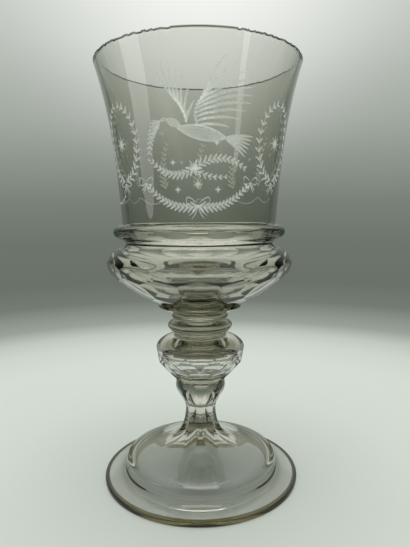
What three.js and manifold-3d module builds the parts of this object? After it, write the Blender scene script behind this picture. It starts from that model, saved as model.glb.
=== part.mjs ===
import * as THREE from 'three';
import { mergeVertices } from 'three/addons/utils/BufferGeometryUtils.js';
import Module from 'manifold-3d';

// A large cut glass goblet, in millimetres, +Z up, with its origin at the centre of the foot's
// underside. Each gather of glass is one solid, turned about the axis and then cut cold with
// flats and flutes. The gathers meet at flat welds. Heights inside a piece start at its lower weld.

const wasm = await Module();
wasm.setup();

// Heights of the pieces, from the foot up
const footHeight = 27;
const stemHeight = 31.3;
const knopHeight = 26.9;
const collarHeight = 2.6;
const beadHeight = 7;
const buttonHeight = 3.7;
const mereseHeight = 5.3;
const cushionHeight = 39.2;
const cupHeight = 97;
const ringHeight = 7.5;

// Foot: a thin flange, a rounded step and a low dome, hollow underneath up to a peak on the axis
const footRadius = 57.8;
const flangeEdge = 2.8;
const edgeRound = 0.9;
const stepRadius = 45.2;
const stepFootHeight = 6;
const stepTopHeight = 13.6;
const stepRound = 3.2;
const riserWall = 3.7;
const stepWall = 2;
const shoulderInset = 7.5;
const lipHeight = 6.5;
const lipSpread = 4.2;
const throatRadius = 12;
const throatHeight = 18.6;
const peakWall = 1;

// Stem: a solid baluster with a capital, and eight long flutes that run out on the foot's dome
const footNeckRadius = 12.5;
const waistRadius = 9.05;
const waistHeight = 12.2;
const capitalRadius = 14.9;
const capitalHeight = 28.3;
const capitalRound = 0.4;
const fluteCount = 8;
const fluteHalfWidth = 3.7;
const fluteTaperRadius = 15;
const fluteTipRadius = 27;
const fluteArch = 5;

// Knop: blown round a bubble, a smooth dome over three rows of flats. The blowpipe's hole is open
// in its foot, where the stem closes it
const knopRadius = 26.2;
const knopFootRadius = 14.3;
const knopTopRadius = 15.8;
const knopWidest = 19.7;
const knopDomeRise = 7.3;
const knopFlatCount = 10;
const knopGirdleDepth = 1.25;
const knopGirdleDrop = 0.6;
const knopMiddleDrop = 12;
const knopMiddleDraw = 2.6;
const knopLowerRise = 10.9;
const knopFootDraw = 0.7;
const knopLowerDraw = 1.2;
const bubbleRadius = 22;
const bubbleTop = 20.5;
const bubbleWaist = 14;
const bubbleFloor = 3.5;
const bubbleHole = 7;

// Collar, bead, button and the sharp-edged merese under the bowl
const collarRadius = 14.9;
const collarStep = 0.35;
const beadRadius = 19.1;
const beadFootRadius = 14.3;
const beadTopRadius = 13.8;
const buttonRadius = 16.8;
const buttonTopRadius = 15.5;
const mereseRadius = 24.3;
const mereseFootRadius = 15.2;
const mereseTopRadius = 22.4;
const mereseEdge = 0.5;

// Cushion: the thick lower gather of the bowl, with three rows of flats under a smooth shoulder
const cushionRadius = 53.3;
const cushionWidest = 25;
const cushionFootRadius = 22;
const neckRadius = 42.6;
const neckHeight = 36;
const bowlFlatCount = 14;
const upperFlatDepth = 0.27;
const upperFlatLean = 0.41;
const upperFlatTop = 1.3;
const upperFlatHeight = 9.6;
const middleFlatLean = 1.3;
const lowerFlatLean = 2.1;
const lowerFlatRise = 7.5;
const cushionWall = 6.3;
const cushionHaunch = 9.1;
const haunchHeight = 15.9;
const cushionFloor = 8;
const cushionFloorRadius = 19;

// Ring: a round trail laid at the foot of the cup, on the lip of the cushion, cut with lenses
const ringReach = 5.6;
const ringGap = 0.3;
const lipWidth = 2.6;
const ringCutTop = 0.4;
const ringCutFoot = 1.6;

// Cup: flares from a straight foot to the fire-polished rim
const cupFootRadius = 44;
const cupFootWall = 4.2;
const cupRimWall = 2.7;
const rimRadius = 57.8;
const straightShare = 0.5;

// Steps round the axis and along each curve
const cupSteps = 48;
const bowlSteps = 56;
const knopSteps = 40;
const waferSteps = 36;
const flutedSteps = 48;
const curveSteps = 4;
const flutedCurveSteps = 7;
const wheelReach = 90;

// Turns an outline of radius and height about the Z axis into a solid
function turned(outline, steps) {
  const lathe = new THREE.LatheGeometry(outline, steps);
  lathe.rotateX(Math.PI / 2);
  return solidOf(lathe);
}

// Sweeps an outline of radius and height straight across the glass, as a grinding wheel does
function wheelCut(outline, azimuth) {
  const swept = new THREE.ExtrudeGeometry(new THREE.Shape(outline), {
    depth: wheelReach,
    bevelEnabled: false,
  });
  swept.translate(0, 0, -wheelReach / 2);
  swept.rotateX(Math.PI / 2);
  swept.rotateZ(azimuth);
  return solidOf(swept);
}

// Merges shared corners, drops triangles without area and makes a solid with its faces out
function solidOf(geometry) {
  geometry.deleteAttribute('normal');
  geometry.deleteAttribute('uv');
  const merged = mergeVertices(geometry, 1e-4);
  const corners = merged.getAttribute('position').array;
  const index = Array.from(merged.getIndex().array);
  const triangles = [];
  for (let i = 0; i < index.length; i += 3) {
    const [a, b, c] = [index[i], index[i + 1], index[i + 2]];
    if (a !== b && b !== c && c !== a) {
      triangles.push(a, b, c);
    }
  }
  if (signedVolume(corners, triangles) < 0) {
    triangles.reverse();
  }
  return new wasm.Manifold(new wasm.Mesh({
    numProp: 3,
    vertProperties: new Float32Array(corners),
    triVerts: new Uint32Array(triangles),
  }));
}

// Six times the volume inside a closed set of triangles, negative when they face inwards
function signedVolume(corners, triangles) {
  const point = (i) => new THREE.Vector3().fromArray(corners, 3 * triangles[i]);
  let sum = 0;
  for (let i = 0; i < triangles.length; i += 3) {
    sum += point(i).dot(point(i + 1).cross(point(i + 2)));
  }
  return sum;
}

// Grinds one ring of flats: each flat holds the line from low to high, two radius and height pairs
function grindFlats(solid, count, firstAzimuth, low, high) {
  const along = high.clone().sub(low).normalize().multiplyScalar(wheelReach / 2);
  const outward = new THREE.Vector2(along.y, -along.x);
  const start = low.clone().sub(along);
  const end = high.clone().add(along);
  const outline = [start, start.clone().add(outward), end.clone().add(outward), end];
  let cut = solid;
  for (let i = 0; i < count; i += 1) {
    cut = cut.subtract(wheelCut(outline, firstAzimuth + (i * 2 * Math.PI) / count));
  }
  return cut;
}

// A radius and height on a straight line of the given lean, at a height
function onLean(radius, height, lean, atHeight) {
  return new THREE.Vector2(radius + lean * (atHeight - height), atHeight);
}

const front = -Math.PI / 2;
const points = (path) => path.getPoints(curveSteps);

// The foot's dome, from the top of its step up to the weld of the stem
function domeCurve() {
  const path = new THREE.Path();
  const run = stepRadius - footNeckRadius;
  const rise = footHeight - stepTopHeight;
  path.moveTo(stepRadius - stepRound, stepTopHeight);
  path.bezierCurveTo(
    stepRadius - 0.41 * run, stepTopHeight + 0.17 * rise,
    footNeckRadius + 0.15 * run, footHeight - 0.48 * rise,
    footNeckRadius, footHeight,
  );
  return path.getPoints(flutedCurveSteps);
}

// The baluster, from the weld of the foot up to the edge of its capital
function balusterCurve() {
  const path = new THREE.Path();
  path.moveTo(footNeckRadius, 0);
  path.bezierCurveTo(
    waistRadius + 0.45 * (footNeckRadius - waistRadius), 0.21 * waistHeight,
    waistRadius, 0.61 * waistHeight,
    waistRadius, waistHeight,
  );
  const run = capitalRadius - waistRadius;
  const rise = capitalHeight - waistHeight;
  path.bezierCurveTo(
    waistRadius, waistHeight + 0.48 * rise,
    waistRadius + 0.9 * run, waistHeight + 0.61 * rise,
    capitalRadius, capitalHeight,
  );
  return path.getPoints(flutedCurveSteps);
}

// Draws one point of radius and height in to the floor of a flute. A flat of half width w across a
// round of radius R lies sqrt(R * R - w * w) from the axis. On the dome w narrows to nothing at the
// flute's tip, and under the capital it closes in an arch
function drawnIn(point) {
  const toTip = (point.x - fluteTaperRadius) / (fluteTipRadius - fluteTaperRadius);
  const toArch = 1 - (footHeight + capitalHeight - point.y) / fluteArch;
  const share = point.y < footHeight + waistHeight
    ? 1 - THREE.MathUtils.clamp(toTip, 0, 1) ** 1.5
    : Math.sqrt(1 - THREE.MathUtils.clamp(toArch, 0, 1) ** 2);
  const halfWidth = Math.min(fluteHalfWidth * share, point.x);
  return new THREE.Vector2(Math.sqrt(point.x ** 2 - halfWidth ** 2), point.y);
}

// Cuts the flutes into a piece whose lower weld is at baseHeight
function cutFlutes(solid, baseHeight) {
  const onDome = domeCurve();
  const first = onDome.findIndex((p) => p.x < fluteTipRadius);
  const [below, above] = [onDome[first - 1], onDome[first]];
  const tip = below.clone().lerp(above, (below.x - fluteTipRadius) / (below.x - above.x));
  const onStem = balusterCurve().slice(1).map((p) => new THREE.Vector2(p.x, p.y + footHeight));
  const floor = [tip, ...onDome.slice(first), ...onStem].map(drawnIn);
  const top = floor[floor.length - 1];
  const outline = [...floor, new THREE.Vector2(wheelReach, top.y + wheelReach / 2),
    new THREE.Vector2(wheelReach, tip.y)];
  outline.forEach((p) => p.setY(p.y - baseHeight));
  const pitch = (2 * Math.PI) / fluteCount;
  let cut = solid;
  for (let i = 0; i < fluteCount; i += 1) {
    cut = cut.subtract(wheelCut(outline, front + (i + 0.5) * pitch));
  }
  return cut;
}

// The foot's outline starts on the axis at the hollow's peak, comes down the hollow to its lip and
// goes out along the flat underside, round the edge and up over the flange, the step and the dome
function foot() {
  const peak = footHeight - peakWall;
  const hollowRadius = stepRadius - riserWall;
  const shoulder = new THREE.Vector2(hollowRadius - shoulderInset, stepTopHeight - stepWall);
  const run = shoulder.x - throatRadius;
  const fall = throatHeight - shoulder.y;
  const outline = new THREE.Path();
  outline.moveTo(0, peak);
  outline.bezierCurveTo(
    0.13 * throatRadius, peak, 0.35 * throatRadius, throatHeight + 0.46 * (peak - throatHeight),
    throatRadius, throatHeight,
  );
  outline.bezierCurveTo(
    throatRadius + 0.42 * run, throatHeight - 0.57 * fall,
    throatRadius + 0.68 * run, throatHeight - 0.74 * fall,
    shoulder.x, shoulder.y,
  );
  outline.bezierCurveTo(
    shoulder.x + 0.73 * shoulderInset, shoulder.y - 0.27 * (shoulder.y - lipHeight),
    hollowRadius - 0.04 * shoulderInset, lipHeight + 0.53 * (shoulder.y - lipHeight),
    hollowRadius, lipHeight,
  );
  outline.bezierCurveTo(
    hollowRadius + 0.1 * lipSpread, 0.06 * lipHeight,
    hollowRadius + 0.4 * lipSpread, 0.05 * lipHeight,
    hollowRadius + lipSpread, 0,
  );
  outline.lineTo(footRadius - edgeRound, 0);
  outline.lineTo(footRadius, edgeRound);
  outline.lineTo(footRadius, flangeEdge - edgeRound);
  outline.lineTo(footRadius - edgeRound, flangeEdge);
  outline.quadraticCurveTo(stepRadius + 1.5, stepFootHeight - 1.2, stepRadius, stepFootHeight + 1);
  outline.lineTo(stepRadius, stepTopHeight - stepRound);
  outline.quadraticCurveTo(stepRadius - 0.3, stepTopHeight - 0.4, stepRadius - stepRound,
    stepTopHeight);
  const blank = [...points(outline), ...domeCurve().slice(1), new THREE.Vector2(0, footHeight)];
  return cutFlutes(turned(blank, flutedSteps), 0);
}

function stem() {
  const blank = [
    new THREE.Vector2(0, 0),
    ...balusterCurve(),
    new THREE.Vector2(capitalRadius - capitalRound, stemHeight),
    new THREE.Vector2(0, stemHeight),
  ];
  return cutFlutes(turned(blank, flutedSteps), footHeight);
}

function knop() {
  const halfFlat = Math.PI / knopFlatCount;
  const flatRadius = knopRadius - knopGirdleDepth;
  const outline = new THREE.Path();
  outline.moveTo(0, bubbleTop);
  outline.bezierCurveTo(
    0.93 * bubbleRadius, bubbleTop, bubbleRadius, bubbleTop - 0.31 * (bubbleTop - bubbleWaist),
    0.98 * bubbleRadius, bubbleWaist,
  );
  outline.bezierCurveTo(
    0.89 * bubbleRadius, bubbleFloor + 0.1 * (bubbleWaist - bubbleFloor),
    0.55 * bubbleRadius, bubbleFloor,
    bubbleHole, bubbleFloor,
  );
  outline.lineTo(bubbleHole, 0);
  outline.lineTo(knopFootRadius, 0);
  outline.lineTo(knopRadius, knopWidest - knopMiddleDrop);
  outline.lineTo(knopRadius, knopWidest);
  const domeCentre = 0.5 * knopRadius;
  outline.bezierCurveTo(
    knopRadius, knopWidest + 0.55 * knopDomeRise,
    domeCentre + 0.55 * (knopRadius - domeCentre), knopHeight,
    knopTopRadius, knopHeight,
  );
  outline.lineTo(0, knopHeight);
  let cut = turned(points(outline), knopSteps);
  const ridge = flatRadius / Math.cos(halfFlat);
  const girdleFoot = knopWidest - knopGirdleDrop;
  cut = grindFlats(cut, knopFlatCount, front, new THREE.Vector2(flatRadius, 0),
    new THREE.Vector2(flatRadius, knopWidest));
  const middleLow = new THREE.Vector2(flatRadius - knopMiddleDraw, knopWidest - knopMiddleDrop);
  cut = grindFlats(cut, knopFlatCount, front + halfFlat, middleLow,
    new THREE.Vector2(ridge, girdleFoot));
  cut = grindFlats(cut, knopFlatCount, front, new THREE.Vector2(knopFootRadius - knopFootDraw, 0),
    new THREE.Vector2(flatRadius - knopLowerDraw, knopLowerRise));
  return cut;
}

function collar() {
  const outline = [
    [0, 0],
    [collarRadius + 2 * collarStep, 0],
    [collarRadius + 2 * collarStep, collarHeight / 3],
    [collarRadius + collarStep, collarHeight / 3],
    [collarRadius + collarStep, (2 * collarHeight) / 3],
    [collarRadius, (2 * collarHeight) / 3],
    [collarRadius, collarHeight],
    [0, collarHeight],
  ];
  return turned(outline.map(([r, z]) => new THREE.Vector2(r, z)), waferSteps);
}

function bead() {
  const outline = new THREE.Path();
  outline.moveTo(0, 0);
  outline.lineTo(beadFootRadius, 0);
  outline.quadraticCurveTo(beadRadius - 0.3, 0.1 * beadHeight, beadRadius, beadHeight / 2);
  outline.quadraticCurveTo(beadRadius - 0.3, 0.86 * beadHeight, beadTopRadius, beadHeight);
  outline.lineTo(0, beadHeight);
  return turned(points(outline), waferSteps);
}

function button() {
  const outline = new THREE.Path();
  outline.moveTo(0, 0);
  outline.lineTo(beadTopRadius, 0);
  outline.quadraticCurveTo(beadTopRadius + 0.4, 0.25 * buttonHeight,
    buttonRadius - 0.5, 0.3 * buttonHeight);
  outline.quadraticCurveTo(buttonRadius + 0.4, 0.65 * buttonHeight, buttonTopRadius, buttonHeight);
  outline.lineTo(0, buttonHeight);
  return turned(outline.getPoints(curveSteps - 1), waferSteps);
}

function merese() {
  const edgeHeight = mereseHeight - 2 * mereseEdge;
  const outline = new THREE.Path();
  outline.moveTo(0, 0);
  outline.lineTo(mereseFootRadius, 0);
  outline.quadraticCurveTo(mereseFootRadius + 3, 0.4 * edgeHeight, mereseRadius, edgeHeight);
  outline.lineTo(mereseRadius, edgeHeight + mereseEdge);
  outline.lineTo(mereseTopRadius, mereseHeight);
  outline.lineTo(0, mereseHeight);
  return turned(outline.getPoints(curveSteps - 1), waferSteps);
}

// The cushion's outline outside, from its foot to the lip that carries the ring, and back inside
// down the neck and the hollow to the floor on the axis
function cushion() {
  const outline = new THREE.Path();
  outline.moveTo(0, 0);
  outline.lineTo(cushionFootRadius, 0);
  outline.bezierCurveTo(
    cushionRadius - 6.4, 0.435 * cushionWidest, cushionRadius, 0.746 * cushionWidest,
    cushionRadius, cushionWidest,
  );
  outline.bezierCurveTo(
    cushionRadius, cushionWidest + 4, neckRadius + 5, neckHeight - 1.4,
    neckRadius, neckHeight,
  );
  outline.quadraticCurveTo(neckRadius + 0.3, cushionHeight - 1, cupFootRadius + lipWidth,
    cushionHeight);
  const neckInnerRadius = cupFootRadius - cupFootWall;
  const hollowRadius = cushionRadius - cushionWall;
  const hollowWidest = cushionWidest + 1.5;
  const drop = hollowWidest - haunchHeight;
  const haunch = hollowRadius - cushionHaunch;
  outline.lineTo(neckInnerRadius, cushionHeight);
  outline.bezierCurveTo(
    neckInnerRadius - 1.2, neckHeight - 0.8, hollowRadius + 1.6, neckHeight - 2.4,
    hollowRadius, hollowWidest,
  );
  outline.bezierCurveTo(
    hollowRadius - 0.15 * cushionHaunch, hollowWidest - 0.52 * drop,
    hollowRadius - 0.6 * cushionHaunch, haunchHeight + 0.24 * drop,
    haunch, haunchHeight,
  );
  outline.bezierCurveTo(
    haunch - 6.4, haunchHeight - 0.56 * (haunchHeight - cushionFloor),
    cushionFloorRadius + 7.5, cushionFloor,
    cushionFloorRadius, cushionFloor,
  );
  outline.lineTo(0, cushionFloor);
  let cut = turned(points(outline), bowlSteps);
  const halfFlat = Math.PI / bowlFlatCount;
  const upperRadius = cushionRadius - upperFlatDepth;
  const upperHeight = cushionWidest + upperFlatTop;
  const seam = upperHeight - upperFlatHeight;
  const upperLow = onLean(upperRadius, upperHeight, upperFlatLean, seam);
  cut = grindFlats(cut, bowlFlatCount, front + halfFlat, upperLow,
    new THREE.Vector2(upperRadius, upperHeight));
  const middleHigh = new THREE.Vector2(upperLow.x * Math.cos(halfFlat), seam);
  const middleLow = onLean(middleHigh.x, seam, middleFlatLean, seam / 3);
  cut = grindFlats(cut, bowlFlatCount, front, middleLow, middleHigh);
  const ridgeThere = onLean(middleHigh.x, seam, middleFlatLean, lowerFlatRise);
  const lowerHigh = new THREE.Vector2(ridgeThere.x / Math.cos(halfFlat), lowerFlatRise);
  const lowerLow = onLean(lowerHigh.x, lowerFlatRise, lowerFlatLean, 0);
  return grindFlats(cut, bowlFlatCount, front + halfFlat, lowerLow, lowerHigh);
}

// The ring's section is a round with a flat below, where it sits, and a bore that clears the cup
function ring() {
  const bore = cupFootRadius + ringGap;
  const ringRadius = cupFootRadius + ringReach;
  const middle = ringHeight / 2;
  const centre = ringRadius - middle;
  const boreTurn = Math.acos((bore - centre) / middle);
  const outline = new THREE.Path();
  outline.moveTo(bore, 0);
  outline.lineTo(centre, 0);
  outline.absarc(centre, middle, middle, -Math.PI / 2, boreTurn, false);
  outline.lineTo(bore, 0);
  const low = new THREE.Vector2(ringRadius - ringCutFoot, 0);
  const high = new THREE.Vector2(ringRadius - ringCutTop, middle);
  return grindFlats(turned(points(outline), bowlSteps), bowlFlatCount,
    front + Math.PI / bowlFlatCount, low, high);
}

function cup() {
  const flareStart = ringHeight;
  const rimRound = cupRimWall / 2;
  const flareHeight = cupHeight - rimRound - flareStart;
  const outside = [new THREE.Vector2(cupFootRadius, 0)];
  const inside = [new THREE.Vector2(cupFootRadius - cupFootWall, 0)];
  const steps = 2 * curveSteps;
  for (let i = 0; i <= steps; i += 1) {
    const t = i / steps;
    const flare = straightShare * t + (1 - straightShare) * t ** 3;
    const radius = cupFootRadius + (rimRadius - cupFootRadius) * flare;
    const wall = cupFootWall + (cupRimWall - cupFootWall) * t;
    outside.push(new THREE.Vector2(radius, flareStart + t * flareHeight));
    inside.push(new THREE.Vector2(radius - wall, flareStart + t * flareHeight));
  }
  const rim = new THREE.Path();
  rim.absarc(rimRadius - rimRound, cupHeight - rimRound, rimRound, 0, Math.PI, false);
  const lip = rim.getPoints(2).slice(1, -1);
  const closed = [...outside, ...lip, ...inside.reverse(), outside[0].clone()];
  return turned(closed, cupSteps);
}

// Stacks the pieces, each on the weld below it, and names them
const goblet = new THREE.Group();
goblet.name = 'goblet';

function place(name, solid, height, colour, roughness) {
  const cut = solid.getMesh();
  const geometry = new THREE.BufferGeometry();
  geometry.setAttribute('position', new THREE.BufferAttribute(cut.vertProperties, 3));
  geometry.setIndex(new THREE.BufferAttribute(cut.triVerts, 1));
  geometry.computeVertexNormals();
  const material = new THREE.MeshStandardMaterial({ color: colour, roughness, metalness: 0 });
  const mesh = new THREE.Mesh(geometry, material);
  mesh.name = name;
  mesh.position.z = height;
  goblet.add(mesh);
}

const blownGlass = 0xdde2dc;
const cutGlass = 0xd2d8d1;
const stemGlass = 0xd7dcd4;
const footGlass = 0xd9dfd6;
const polished = 0.04;

const stack = [
  ['foot', foot(), footHeight, footGlass],
  ['stem', stem(), stemHeight, stemGlass],
  ['knop', knop(), knopHeight, cutGlass],
  ['knop_collar', collar(), collarHeight, stemGlass],
  ['stem_merese', bead(), beadHeight, stemGlass],
  ['bowl_button', button(), buttonHeight, stemGlass],
  ['bowl_merese', merese(), mereseHeight, stemGlass],
  ['bowl_cushion', cushion(), cushionHeight, cutGlass],
];
let level = 0;
for (const [name, solid, height, colour] of stack) {
  place(name, solid, level, colour, polished);
  level += height;
}
place('bowl_ring', ring(), level, cutGlass, polished);
place('bowl_cup', cup(), level, blownGlass, polished);

export default goblet;
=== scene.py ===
import math

import bmesh
import bpy
import numpy as np
from mathutils import Matrix, Vector


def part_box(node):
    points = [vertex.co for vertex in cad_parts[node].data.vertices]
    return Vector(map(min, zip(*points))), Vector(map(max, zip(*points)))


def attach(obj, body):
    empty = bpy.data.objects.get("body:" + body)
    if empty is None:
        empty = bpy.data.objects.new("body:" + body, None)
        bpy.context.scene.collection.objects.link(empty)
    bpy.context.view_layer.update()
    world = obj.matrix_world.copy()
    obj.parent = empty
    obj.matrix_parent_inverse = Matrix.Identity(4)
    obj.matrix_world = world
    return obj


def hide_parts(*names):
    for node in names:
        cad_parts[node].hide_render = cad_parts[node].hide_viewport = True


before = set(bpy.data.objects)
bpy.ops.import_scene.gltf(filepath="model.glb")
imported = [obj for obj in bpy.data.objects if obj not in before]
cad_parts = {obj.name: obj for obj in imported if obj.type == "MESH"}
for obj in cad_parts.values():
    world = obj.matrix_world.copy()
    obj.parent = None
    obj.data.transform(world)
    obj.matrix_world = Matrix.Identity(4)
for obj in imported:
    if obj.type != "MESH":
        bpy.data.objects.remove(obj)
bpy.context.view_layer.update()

# Foot. The last gather of the goblet, spun out flat into a round foot with a raised step and a low
# dome, hollow underneath up to a peak. Colourless pot glass with a brown-green cast, which its rim
# shows at full depth. It is drawn up at its middle to the stem, whose flutes run out on its dome.
MM = 0.001
FRONT = -math.pi / 2
TINY = 1e-9
DOUBLED = 1e-7

# Two pieces draw back from their weld by this gap each, so that their faces never share a place.
WELD_GAP = 0.001 * MM
COLUMNS = 480
CURVE_STEPS = 16
DOME_STEPS = 78
END_ROW = 0.5
SOFT_ARRIS = math.radians(34)
CRISP_ARRIS = math.radians(12)
GLASS_INDEX = 1.51
GLASS_DEPTH = "#CDCCBC"
# Painted shade at the foot's rim: the dark brown-green tint painted on the skin there.
RIM_PAINTED_SHADE = "#584F26"
RIM_DEPTH = 2.3 * MM
RIM_BLEND = 0.5 * MM
foot_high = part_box("foot")[1]
FOOT_RADIUS = foot_high.x
FOOT_TOP = foot_high.z
FLANGE_EDGE = 2.8 * MM
EDGE_ROUND = 0.9 * MM
STEP_RADIUS = 45.2 * MM
STEP_FOOT = 7.0 * MM
STEP_TOP = 13.6 * MM
STEP_ROUND = 3.2 * MM
RISER_WALL = 3.7 * MM
STEP_WALL = 2.0 * MM
SHOULDER_INSET = 7.5 * MM
LIP_HEIGHT = 6.5 * MM
LIP_SPREAD = 4.2 * MM
THROAT_RADIUS = 12.0 * MM
THROAT_HEIGHT = 18.6 * MM
PEAK_WALL = 1.0 * MM
FOOT_NECK = 12.5 * MM
WAIST = FOOT_TOP + 12.2 * MM
CAPITAL = FOOT_TOP + 28.3 * MM
FLUTES = 8
FIRST_FLUTE = FRONT + math.pi / FLUTES
FLUTE_HALF_WIDTH = 3.7 * MM
FLUTE_HOLLOW = 1.5
FLUTE_RUN_OUT = 1.5
FLUTE_TAPER = 15.0 * MM
FLUTE_TIP = 27.0 * MM
FLUTE_ARCH = 5.0 * MM


def curve(*controls, steps=CURVE_STEPS):
    """A Bezier curve: each point is the sum of the control points, weighed by the Bernstein
    polynomials of t, with t in even steps from 0 to 1."""
    t = np.linspace(0, 1, steps + 1)[:, None]
    last = len(controls) - 1
    weights = [math.comb(last, k) * t**k * (1 - t) ** (last - k) for k in range(last + 1)]
    return sum(w * np.array(c, float) for w, c in zip(weights, controls))


def bent(start, end, *shares, steps=CURVE_STEPS):
    """A Bezier curve from start to end. Each pair of shares places one control point: it lies at
    the first share of the way in radius and at the second share of the way in height."""
    start, end = np.array(start, float), np.array(end, float)
    return curve(start, *(start + share * (end - start) for share in np.array(shares)), end,
                 steps=steps)


def outline(*stretches):
    """One line of radius and height: the stretches in a row, with a shared end taken once."""
    line = np.vstack([np.atleast_2d(np.array(s, float)) for s in stretches])
    apart = np.linalg.norm(np.diff(line, axis=0), axis=1) > TINY
    return line[np.concatenate([[True], apart])]


def azimuths(columns=COLUMNS):
    """Even steps once round the Z axis, from the front."""
    return FRONT + np.linspace(0, 2 * np.pi, columns, endpoint=False)


def turned(radius, height, columns=COLUMNS):
    """A turned skin: the point in row i and column j is (r cos a, r sin a, h), with the column's
    azimuth a, and with r and h from the row, or from both row and column. Rows of radius 0 close it
    at the axis. Returns a bmesh without doubled points."""
    around = azimuths(columns)
    radius, height = np.atleast_2d(radius.T).T, np.atleast_2d(height.T).T
    flat = np.stack([radius * np.cos(around), radius * np.sin(around)], axis=-1)
    grid = np.concatenate([flat, (height + 0 * around)[..., None]], axis=-1)
    row, column = np.meshgrid(np.arange(len(radius) - 1), np.arange(columns), indexing="ij")
    following = (column + 1) % columns
    corners = [row * columns + column, row * columns + following,
               (row + 1) * columns + following, (row + 1) * columns + column]
    mesh = bpy.data.meshes.new("turned")
    mesh.from_pydata(grid.reshape(-1, 3), [], np.stack(corners, axis=-1).reshape(-1, 4))
    body = bmesh.new()
    body.from_mesh(mesh)
    bpy.data.meshes.remove(mesh)
    bmesh.ops.remove_doubles(body, verts=body.verts, dist=DOUBLED)
    return body


def fluted(line):
    """The turned line with the flutes ground in. The wheel takes off a parabola across the glass,
    of half width w and of the depth FLUTE_HOLLOW * w**2 / 2R at its middle, where R is the line's
    radius. On the foot w narrows to nothing at the tip, and it closes in an arch at the capital."""
    radius, height = line[:, :1], line[:, 1:]
    to_tip = np.clip((radius - FLUTE_TAPER) / (FLUTE_TIP - FLUTE_TAPER), 0, 1)
    to_arch = np.clip((height - CAPITAL + FLUTE_ARCH) / FLUTE_ARCH, 0, 1)
    narrow = np.where(height < WAIST, 1 - to_tip**FLUTE_RUN_OUT, np.sqrt(1 - to_arch**2))
    half_width = FLUTE_HALF_WIDTH * narrow + TINY
    pitch = 2 * np.pi / FLUTES
    aside = (azimuths() - FIRST_FLUTE + pitch / 2) % pitch - pitch / 2
    share = np.clip(1 - (radius * aside / half_width) ** 2, 0, 1)
    depth = FLUTE_HOLLOW * half_width**2 / (2 * np.maximum(radius, half_width))
    return radius - depth * share


def linear(hex_colour):
    """An sRGB hex colour as linear red, green and blue, by the sRGB formula, with alpha 1."""
    parts = np.array([int(hex_colour[i : i + 2], 16) / 255 for i in (1, 3, 5)])
    low, high = parts / 12.92, ((parts + 0.055) / 1.055) ** 2.4
    return (*np.where(parts <= 0.04045, low, high).tolist(), 1.0)


def add(tree, kind, settings=None, links=None):
    """Adds a node with its settings and links: a name is a socket's, its place or a property's."""
    node = tree.nodes.new(kind)
    for name, value in (settings or {}).items():
        if isinstance(name, int) or name in node.inputs:
            node.inputs[name].default_value = value
        else:
            setattr(node, name, value)
    for name, source in (links or {}).items():
        tree.links.new(source, node.inputs[name])
    return node


def new_material(name):
    """A material whose node tree is still empty."""
    material = bpy.data.materials.new(name)
    material.use_nodes = True
    material.node_tree.nodes.clear()
    return material


def pot_glass(name, ripple, ripple_length, stretch=1.0, density=110.0, film="#FFFFFF"):
    """Colourless pot glass. Its polished skin has soft ripples of the given depth and length,
    stretched along Z, and the film is the colour that it lets through. Inside it takes more blue
    than red and green, by the density, per metre, so that a long way through it looks brown-green.
    A face with weld 1 is inside the hot joint and isn't seen."""
    material = new_material(name)
    tree = material.node_tree
    place = add(tree, "ShaderNodeTexCoord")
    drawn = add(tree, "ShaderNodeMapping", {"Scale": (1, 1, 1 / stretch)},
                {"Vector": place.outputs["Object"]})
    wave = add(tree, "ShaderNodeTexNoise", {"Scale": 1 / ripple_length, "Detail": 1.0},
               {"Vector": drawn.outputs["Vector"]})
    bump = add(tree, "ShaderNodeBump", {"Strength": 1.0, "Distance": ripple},
               {"Height": wave.outputs["Fac"]})
    skin = add(tree, "ShaderNodeBsdfPrincipled",
               {"Base Color": linear(film), "Roughness": 0.0, "IOR": GLASS_INDEX,
                "Transmission Weight": 1.0}, {"Normal": bump.outputs["Normal"]})
    joint = add(tree, "ShaderNodeAttribute", {"attribute_name": "weld"})
    unseen = add(tree, "ShaderNodeBsdfTransparent")
    surface = add(tree, "ShaderNodeMixShader", {},
                  {0: joint.outputs["Fac"], 1: skin.outputs["BSDF"], 2: unseen.outputs["BSDF"]})
    depth = add(tree, "ShaderNodeVolumeAbsorption",
                {"Color": linear(GLASS_DEPTH), "Density": density})
    add(tree, "ShaderNodeOutputMaterial", {},
        {"Surface": surface.outputs["Shader"], "Volume": depth.outputs["Volume"]})
    return material


def finish(name, body, glass, welds, node, arris=CRISP_ARRIS, bore=None):
    """Makes the finished piece. A face is inside a weld where all its corners lie at a weld's
    height and within its radius, or on the bore, a radius with its lowest and highest point. An
    edge that turns by more than the arris angle stays crisp."""
    body.normal_update()
    for face in body.faces:
        face.smooth = True
    for edge in body.edges:
        edge.smooth = edge.is_manifold and edge.calc_face_angle(0) < arris
    mesh = bpy.data.meshes.new(name)
    body.to_mesh(mesh)
    body.free()
    place = np.empty(len(mesh.vertices) * 3)
    mesh.vertices.foreach_get("co", place)
    corner = np.empty(len(mesh.loops), int)
    mesh.loops.foreach_get("vertex_index", corner)
    start = np.empty(len(mesh.polygons), int)
    mesh.polygons.foreach_get("loop_start", start)
    place = place.reshape(-1, 3)[corner]
    radius = np.hypot(place[:, 0], place[:, 1])
    lowest, highest = (f.reduceat(place[:, 2], start) for f in (np.minimum, np.maximum))
    nearest, farthest = (f.reduceat(radius, start) for f in (np.minimum, np.maximum))
    near = 2 * WELD_GAP
    inside = np.zeros(len(start), bool)
    for weld_height, weld_radius in welds:
        level = np.maximum(abs(lowest - weld_height), abs(highest - weld_height)) < near
        inside |= level & (farthest < weld_radius + near)
    if bore:
        bore_radius, bore_foot, bore_top = bore
        on_bore = np.maximum(abs(nearest - bore_radius), abs(farthest - bore_radius)) < near
        inside |= on_bore & (lowest > bore_foot - near) & (highest < bore_top + near)
    mesh.attributes.new("weld", "FLOAT", "FACE").data.foreach_set("value", inside.astype(float))
    mesh.materials.append(glass)
    made = bpy.data.objects.new(name, mesh)
    bpy.context.scene.collection.objects.link(made)
    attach(made, "root")
    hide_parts(node)
    return made
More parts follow.
